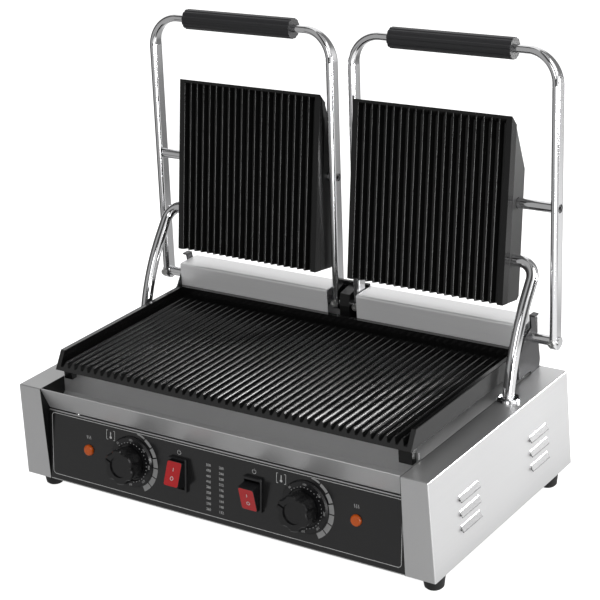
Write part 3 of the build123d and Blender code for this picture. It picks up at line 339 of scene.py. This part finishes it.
def newPiece(name, shape, finish, body):
    mesh = bpy.data.meshes.new(name)
    shape.to_mesh(mesh)
    shape.free()
    mesh.materials.append(finish)
    piece = bpy.data.objects.new(name, mesh)
    bpy.context.collection.objects.link(piece)
    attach(piece, body)


# flat marks are drawn in x and y, then laid on their surface
def drawStrip(shape, start, end, width):
    start = Vector(start)
    end = Vector(end)
    across = (end - start).orthogonal().normalized() * width / 2
    corners = (start + across, end + across, end - across, start - across)
    shape.faces.new([shape.verts.new((*corner, 0.0)) for corner in corners])


def drawArc(shape, centre, inner, outer, start, sweep, steps):
    ray = Vector((cos(start), sin(start), 0.0))
    middle = Vector((*centre, 0.0))
    ends = [shape.verts.new(middle + ray * radius) for radius in (inner, outer)]
    edge = shape.edges.new(ends)
    full = abs(sweep) > 1.999 * pi
    bmesh.ops.spin(shape, geom=ends + [edge], cent=middle, axis=(0, 0, 1), angle=sweep, steps=steps,
                   use_merge=full)


def drawDot(shape, centre, radius):
    place = Matrix.Translation((*centre, 0.0))
    bmesh.ops.create_circle(shape, cap_ends=True, segments=12, radius=radius, matrix=place)


def drawText(shape, words, size, place):
    curve = bpy.data.curves.new("words", "FONT")
    curve.body = words
    curve.size = size
    curve.align_x = "CENTER"
    curve.align_y = "CENTER"
    curve.resolution_u = 3
    holder = bpy.data.objects.new("words", curve)
    flat = bpy.data.meshes.new_from_object(holder)
    flat.transform(place)
    shape.from_mesh(flat)
    bpy.data.objects.remove(holder)
    bpy.data.curves.remove(curve)
    bpy.data.meshes.remove(flat)


def raiseMarks(shape, height):
    bmesh.ops.recalc_face_normals(shape, faces=shape.faces)
    for face in shape.faces:
        if face.normal.z < 0:
            face.normal_flip()
    raised = bmesh.ops.extrude_face_region(shape, geom=list(shape.faces))
    verts = [item for item in raised["geom"] if isinstance(item, bmesh.types.BMVert)]
    bmesh.ops.translate(shape, verts=verts, vec=(0, 0, height))


dialTurn = joints["right_dial_turn"]
outward = -Vector(dialTurn["axis"]).normalized()
controlRow = Vector((0, *dialTurn["pos_m"][1:]))


def layOn(shape, origin, xDirection, normal):
    yDirection = normal.cross(xDirection)
    turn = Matrix((xDirection, yDirection, normal)).transposed().to_4x4()
    bmesh.ops.transform(shape, matrix=Matrix.Translation(origin) @ turn, verts=shape.verts)


fascia = {
    "film": 0.6 * mm, "ink": 0.05 * mm, "halfWidth": 246.5 * mm, "low": -41.2 * mm, "high": 36.6 * mm,
    "corner": 4.5 * mm, "cornerSteps": 8, "line": 0.7 * mm,
}


def fasciaMarks(name, draw, finish):
    shape = bmesh.new()
    draw(shape)
    raiseMarks(shape, fascia["ink"])
    layOn(shape, controlRow + outward * fascia["film"], Vector((1, 0, 0)), outward)
    newPiece(name, shape, finish, "base")


def drawBorder(shape):
    half = fascia["halfWidth"]
    low, high = fascia["low"], fascia["high"]
    corner = fascia["corner"]
    line = fascia["line"]
    for level in (low, high):
        drawStrip(shape, (corner - half, level), (half - corner, level), line)
    for x in (-half, half):
        drawStrip(shape, (x, low + corner), (x, high - corner), line)
    for x, across in ((-half, 1), (half, -1)):
        for y, rise in ((low, 1), (high, -1)):
            start = {(1, 1): pi, (-1, 1): 1.5 * pi, (-1, -1): 0.0, (1, -1): 0.5 * pi}[(across, rise)]
            centre = (x + across * corner, y + rise * corner)
            inner, outer = corner - line / 2, corner + line / 2
            drawArc(shape, centre, inner, outer, start, pi / 2, fascia["cornerSteps"])


dial = {
    "x": abs(dialTurn["pos_m"][0]), "ringTop": 4.6 * mm,
    "dotRadius": 0.55 * mm, "dotReach": 24.0 * mm, "dotsPerNumber": 4,
    "numbers": ("50", "100", "150", "200", "250", "300"), "numberSize": 3.5 * mm, "numberRadius": 27.4 * mm,
    "firstAngle": radians(133), "step": radians(-44.7),
}
# a broken arc round the right of each dial, which grows thicker over its first segments
wedge = {
    "outer": 37.8 * mm, "thin": 0.9 * mm, "thick": 6.4 * mm, "start": radians(79),
    "share": radians(-20.3), "segments": 7, "grown": 4, "gap": 0.06, "fill": 0.88, "steps": 6,
}


def drawWedge(shape, x):
    for index in range(wedge["segments"]):
        growth = min(1.0, (index + 1) / wedge["grown"])
        thickness = wedge["thin"] + (wedge["thick"] - wedge["thin"]) * growth
        start = wedge["start"] + wedge["share"] * (index + wedge["gap"])
        sweep = wedge["share"] * wedge["fill"]
        drawArc(shape, (x, 0), wedge["outer"] - thickness, wedge["outer"], start, sweep, wedge["steps"])


# a thermometer in square brackets, beside each dial
thermometer = {
    "aside": -32.8 * mm, "rise": 25.7 * mm, "width": 12.4 * mm, "height": 11.4 * mm, "line": 0.6 * mm,
    "hook": 2.2 * mm, "stemLow": -1.5 * mm, "stemHigh": 4 * mm, "stemWidth": 1.2 * mm,
    "bulbDrop": -2.8 * mm, "bulbRadius": 1.7 * mm,
}


def drawThermometer(shape, x):
    halfWidth = thermometer["width"] / 2
    halfHeight = thermometer["height"] / 2
    y = thermometer["rise"]
    line = thermometer["line"]
    for across in (-1, 1):
        edge = x + across * halfWidth
        drawStrip(shape, (edge, y - halfHeight), (edge, y + halfHeight), line)
        for rise in (-1, 1):
            level = y + rise * halfHeight
            drawStrip(shape, (edge, level), (edge - across * thermometer["hook"], level), line)
    stem = [(x, y + thermometer[end]) for end in ("stemLow", "stemHigh")]
    drawStrip(shape, *stem, thermometer["stemWidth"])
    drawDot(shape, (x, y + thermometer["bulbDrop"]), thermometer["bulbRadius"])


# two columns of numbers in the middle; each has its place across, its first number and its step
table = {
    "top": 19.6 * mm, "pitch": 6.7 * mm, "size": 4.5 * mm, "rows": 9,
    "columns": ((-11.0 * mm, 500, -30), (7.2 * mm, 260, -16)),
}


def drawTable(shape):
    for row in range(table["rows"]):
        y = table["top"] - row * table["pitch"]
        for x, first, step in table["columns"]:
            drawText(shape, str(first + row * step), table["size"], Matrix.Translation((x, y, 0)))


switchX = abs(joints["right_switch_rock"]["pos_m"][0])
lampX = sum(corner[0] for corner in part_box("right_lamp")) / 2
# the power sign above each switch and the heat waves above each lamp
symbols = {
    "line": 0.55 * mm,
    "switchRise": 26.0 * mm, "radius": 2.5 * mm, "ringStart": radians(125), "ringSweep": radians(290),
    "ringSteps": 20, "barLow": 0.6 * mm, "barHigh": 3.4 * mm,
    "lampRise": 16.0 * mm, "wavePitch": 2.6 * mm, "waveRadius": 1.5 * mm, "waveSteps": 5,
    "waveUpper": Vector((1.1, 1.2)) * mm, "waveLower": Vector((-1.1, -0.9)) * mm,
}


def drawPower(shape, x):
    y = symbols["switchRise"]
    radius = symbols["radius"]
    line = symbols["line"]
    drawArc(shape, (x, y), radius - line / 2, radius + line / 2, symbols["ringStart"], symbols["ringSweep"],
            symbols["ringSteps"])
    drawStrip(shape, (x, y + symbols["barLow"]), (x, y + symbols["barHigh"]), line)


def drawHeat(shape, x):
    inner = symbols["waveRadius"] - symbols["line"] / 2
    outer = symbols["waveRadius"] + symbols["line"] / 2
    for wave in (-1, 0, 1):
        centre = Vector((x + wave * symbols["wavePitch"], symbols["lampRise"]))
        for bend, start in (("waveUpper", radians(135)), ("waveLower", radians(-45))):
            drawArc(shape, centre + symbols[bend], inner, outer, start, radians(90), symbols["waveSteps"])


def drawFascia(shape):
    drawBorder(shape)
    drawTable(shape)
    for side in sides.values():
        drawPower(shape, side * switchX)
        drawHeat(shape, side * lampX)
        drawThermometer(shape, side * dial["x"] + thermometer["aside"])


def drawWedges(shape):
    for side in sides.values():
        drawWedge(shape, side * dial["x"])


fasciaMarks("fasciaMarks", drawFascia, printWhite)
fasciaMarks("dialWedges", drawWedges, printGrey)

for side, sign in sides.items():
    shape = bmesh.new()
    perNumber = dial["dotsPerNumber"]
    for dot in range(perNumber * (len(dial["numbers"]) - 1) + 1):
        angle = dial["firstAngle"] + dial["step"] * dot / perNumber
        drawDot(shape, Vector((cos(angle), sin(angle))) * dial["dotReach"], dial["dotRadius"])
    for index, words in enumerate(dial["numbers"]):
        angle = dial["firstAngle"] + dial["step"] * index
        place = Matrix.Rotation(angle, 4, "Z") @ Matrix.Translation((dial["numberRadius"], 0, 0))
        place = place @ Matrix.Rotation(-pi / 2, 4, "Z")
        drawText(shape, words, dial["numberSize"], place)
    raiseMarks(shape, fascia["ink"])
    centre = controlRow + Vector((sign * dial["x"], 0, 0)) + outward * dial["ringTop"]
    layOn(shape, centre, Vector((1, 0, 0)), outward)
    newPiece(f"{side}DialMarks", shape, printPale, "base")

# the bar and the ring on each rocker, whose face lies along the fascia halfway through its travel
rocker = {
    "reach": 12 * mm, "line": 0.8 * mm, "barLow": 3.2 * mm, "barHigh": 7.2 * mm,
    "ringDrop": -5.2 * mm, "ringRadius": 2.0 * mm, "ringSteps": 24,
}
for side in sides:
    joint = joints[f"{side}_switch_rock"]
    tilt = -radians(sum(joint["range_deg"]) / 2)
    facing = Matrix.Rotation(tilt, 3, "X") @ outward
    shape = bmesh.new()
    drawStrip(shape, (0, rocker["barLow"]), (0, rocker["barHigh"]), rocker["line"])
    drawArc(shape, (0, rocker["ringDrop"]), rocker["ringRadius"] - rocker["line"] / 2,
            rocker["ringRadius"] + rocker["line"] / 2, 0.0, 2 * pi, rocker["ringSteps"])
    raiseMarks(shape, fascia["ink"])
    layOn(shape, Vector(joint["pos_m"]) + facing * rocker["reach"], Vector((1, 0, 0)), facing)
    newPiece(f"{side}RockerMarks", shape, printWhite, f"{side}_switch")
print("marks printed")


rear = {
    "plateWidth": 62 * mm, "plateHeight": 34 * mm, "plateX": -185 * mm, "plateZ": 62 * mm,
    "plateRise": 0.5 * mm, "plateCorner": 2 * mm,
    "rivetRadius": 1.6 * mm, "rivetRise": 0.8 * mm, "rivetInset": 4 * mm,
    "screwRadius": 3.2 * mm, "screwRise": 1.4 * mm, "headTaper": 0.6, "headSides": 20,
    "screwXs": (-238 * mm, -119 * mm, 0.0, 119 * mm, 238 * mm), "screwZs": (30 * mm, 131 * mm),
}
panelFront, panelBack = (corner[1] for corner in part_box("back_panel"))


def addSheet(shape, centre, width, thick, height):
    place = Matrix.Translation(centre) @ Matrix.Diagonal((width, thick, height, 1.0))
    bmesh.ops.create_cube(shape, size=1.0, matrix=place)


plate = bmesh.new()
plateCentre = (rear["plateX"], panelBack + rear["plateRise"] / 2, rear["plateZ"])
addSheet(plate, plateCentre, rear["plateWidth"], rear["plateRise"], rear["plateHeight"])
upright = [edge for edge in plate.edges if abs(edge.verts[0].co.y - edge.verts[1].co.y) > 0.1 * mm]
bmesh.ops.bevel(plate, geom=upright, offset=rear["plateCorner"], segments=4, profile=0.5,
                affect="EDGES", material=-1)
newPiece("ratingPlate", plate, zincSteel, "base")


def addHead(shape, x, z, radius, base, rise):
    turn = Matrix.Translation((x, base, z)) @ Matrix.Rotation(-pi / 2, 4, "X")
    place = turn @ Matrix.Translation((0, 0, rise / 2))
    bmesh.ops.create_cone(shape, cap_ends=True, segments=rear["headSides"], radius1=radius,
                          radius2=radius * rear["headTaper"], depth=rise, matrix=place)


heads = bmesh.new()
for across in (-1, 1):
    for rise in (-1, 1):
        x = rear["plateX"] + across * (rear["plateWidth"] / 2 - rear["rivetInset"])
        z = rear["plateZ"] + rise * (rear["plateHeight"] / 2 - rear["rivetInset"])
        addHead(heads, x, z, rear["rivetRadius"], panelBack + rear["plateRise"], rear["rivetRise"])
for x in rear["screwXs"]:
    for z in rear["screwZs"]:
        addHead(heads, x, z, rear["screwRadius"], panelBack, rear["screwRise"])
newPiece("rearFasteners", heads, zincSteel, "base")

# a dark sheet behind the vents is painted shade: it stands in for the dark inside of the casing and keeps
# daylight from passing through the casing
ventShadeSheet = {
    "x": -60 * mm, "z": 92 * mm, "width": 256 * mm, "height": 44 * mm, "thick": 0.4 * mm,
    "gap": 0.3 * mm,
}
shadeSheet = bmesh.new()
shadeSheetCentre = (ventShadeSheet["x"], panelFront - ventShadeSheet["gap"] - ventShadeSheet["thick"] / 2, ventShadeSheet["z"])
addSheet(shadeSheet, shadeSheetCentre, ventShadeSheet["width"], ventShadeSheet["thick"], ventShadeSheet["height"])
newPiece("ventShadeSheet", shadeSheet, blackSteel, "base")
print("rear dressed")


view = {
    "azimuth": radians(35.68), "elevation": radians(21.37), "roll": radians(-4.0), "distance": 2.165,
    "target": Vector((-0.0130, 0.0518, 0.2177)), "lens": 108.7, "sensor": 36.0, "farEnd": 50.0,
}


def placeCamera():
    azimuth, elevation, roll = view["azimuth"], view["elevation"], view["roll"]
    back = Vector((sin(azimuth) * cos(elevation), -cos(azimuth) * cos(elevation), sin(elevation)))
    level = Vector((cos(azimuth), sin(azimuth), 0))
    rise = back.cross(level)
    right = level * cos(roll) + rise * sin(roll)
    up = rise * cos(roll) - level * sin(roll)
    data = bpy.data.cameras.new("camera")
    data.sensor_width = view["sensor"]
    data.lens = view["lens"]
    data.clip_end = view["farEnd"]
    camera = bpy.data.objects.new("camera", data)
    turn = Matrix((right, up, back)).transposed().to_4x4()
    camera.matrix_world = Matrix.Translation(view["target"] + back * view["distance"]) @ turn
    bpy.context.collection.objects.link(camera)
    bpy.context.scene.camera = camera


bodyCentre = (0, 0, 0.2)
lamps = {
    "keyBox": {"place": (1.6, 0.3, 1.5), "aim": bodyCentre, "size": (1.2, 1.2), "watts": 15},
    "topBox": {
        "place": (-0.4, 0.4, 2.0), "aim": bodyCentre, "size": (1.6, 1.2), "watts": 12, "glossy": False,
    },
    "frontBox": {"place": (0.9, -1.9, 1.3), "aim": bodyCentre, "size": (1.0, 0.8), "watts": 7},
    # these two only draw highlights: on the lower ribs and on the edges of the upper ribs
    "rearBox": {
        "place": (0.95, 0.72, 0.36), "aim": (0.15, -0.10, 0.17), "size": (0.35, 0.35), "watts": 11,
        "diffuse": False,
    },
    "edgeStrip": {
        "place": (1.10, -0.56, 0.21), "aim": (0.1, 0.15, 0.35), "size": (0.22, 0.38), "watts": 6,
        "diffuse": False,
    },
}


def placeLamp(name, place, aim, size, watts, glossy=True, diffuse=True):
    data = bpy.data.lights.new(name, "AREA")
    data.shape = "RECTANGLE"
    data.size, data.size_y = size
    data.energy = watts
    lamp = bpy.data.objects.new(name, data)
    back = (Vector(place) - Vector(aim)).normalized()
    lamp.matrix_world = Matrix.Translation(place) @ back.to_track_quat("Z", "Y").to_matrix().to_4x4()
    lamp.visible_glossy = glossy
    lamp.visible_diffuse = diffuse
    bpy.context.collection.objects.link(lamp)


floorLook = {
    "size": 8.0, "diffuse": 0.55, "glow": 0.92, "near": 0.55, "far": 0.95,
    "sideStart": 0.27, "sideEnd": 0.34, "rearStart": 0.45, "rearEnd": 0.60,
}


def layFloor():
    shape = bmesh.new()
    bmesh.ops.create_grid(shape, x_segments=1, y_segments=1, size=floorLook["size"])
    mesh = bpy.data.meshes.new("floor")
    shape.to_mesh(mesh)
    shape.free()
    material = bpy.data.materials.new("floorPaper")
    wiring = Wiring(material)
    path = wiring.nodes.new("ShaderNodeLightPath")
    seen = Signal(wiring, path.outputs["Is Camera Ray"])
    mirrored = Signal(wiring, path.outputs["Is Glossy Ray"])
    tone = floorLook["diffuse"]
    paper = wiring.add("ShaderNodeBsdfDiffuse", {}, {"Color": (tone, tone, tone)})
    glow = wiring.add("ShaderNodeEmission", {}, {"Color": white, "Strength": seen * floorLook["glow"]})
    both = wiring.add("ShaderNodeAddShader", {}, {0: paper, 1: glow})
    x, y = wiring.place()[:2]
    reach = x * x + y * y
    near = wiring.ramp(reach, (floorLook["near"], 1.0), (floorLook["far"], 0.0))
    beside = wiring.ramp(x, (floorLook["sideStart"], 0.0), (floorLook["sideEnd"], 1.0))
    beside = beside * wiring.ramp(y, (floorLook["rearStart"], 1.0), (floorLook["rearEnd"], 0.0))
    level = near * studio["floorFront"] + (1 - near) * studio["floorFar"] * wiring.around()
    level = beside * studio["floorSide"] + (1 - beside) * level
    reflected = wiring.add("ShaderNodeEmission", {}, {"Color": white, "Strength": level})
    shown = wiring.add("ShaderNodeMixShader", {}, {0: mirrored, 1: both, 2: reflected})
    wiring.feed(wiring.nodes["Material Output"].inputs["Surface"], shown)
    mesh.materials.append(material)
    floor = bpy.data.objects.new("floor", mesh)
    bpy.context.collection.objects.link(floor)


def lightWorld():
    world = bpy.data.worlds.new("studio")
    bpy.context.scene.world = world
    wiring = Wiring(world)
    path = wiring.nodes.new("ShaderNodeLightPath")
    seen = Signal(wiring, path.outputs["Is Camera Ray"])
    mirrored = Signal(wiring, path.outputs["Is Glossy Ray"])
    walls = wiring.around("Generated")
    level = seen + (1 - seen) * (mirrored * walls + (1 - mirrored) * studio["ambient"])
    wiring.feed(wiring.nodes["Background"].inputs["Strength"], level)
    wiring.feed(wiring.nodes["Background"].inputs["Color"], white)


placeCamera()
layFloor()
lightWorld()
for name, lamp in lamps.items():
    placeLamp(name, **lamp)
bpy.context.scene.view_settings.view_transform = "Standard"
print("camera and lights placed")
